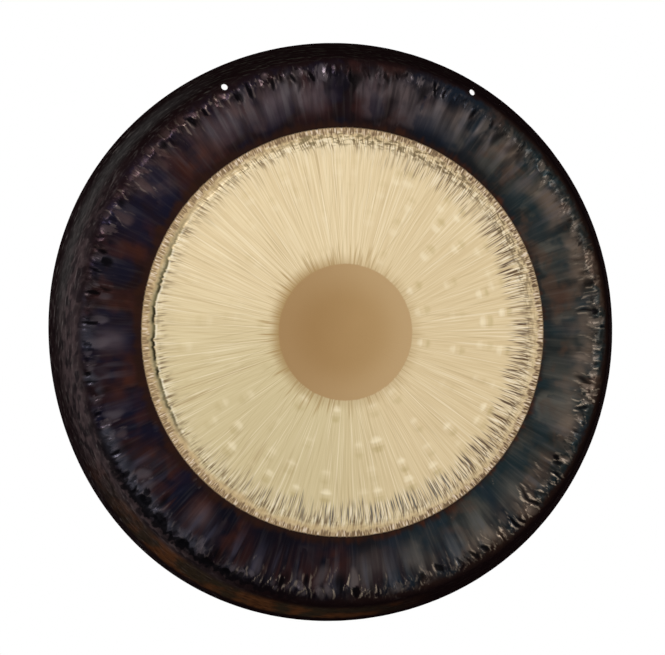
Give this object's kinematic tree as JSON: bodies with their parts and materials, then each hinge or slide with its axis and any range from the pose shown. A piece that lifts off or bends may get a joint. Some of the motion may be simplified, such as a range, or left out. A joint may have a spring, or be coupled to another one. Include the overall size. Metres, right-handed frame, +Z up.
{
  "type": "gong",
  "caption": "Round hammered gong: flat brushed face with a plain brown disc, dark dented shoulder, wall flaring back to a ground edge, drilled near the top for a hanging cord.",
  "frame": {"origin": "on the gong's axis, midway between the flat disc of the face and the ground rear edge, which is the middle of its box", "axes": "the struck face looks along -Y, the open back along +Y, and +Z is up as the gong hangs"},
  "size_m": [0.7089, 0.0616, 0.7103],
  "materials": {
    "gong_bronze": "hammered bronze, brushed pale on the face and left dark from the fire round the rim"
  },
  "bodies": {
    "root": {"gong_sheet": "gong_bronze"}
  },
  "joints": []
}
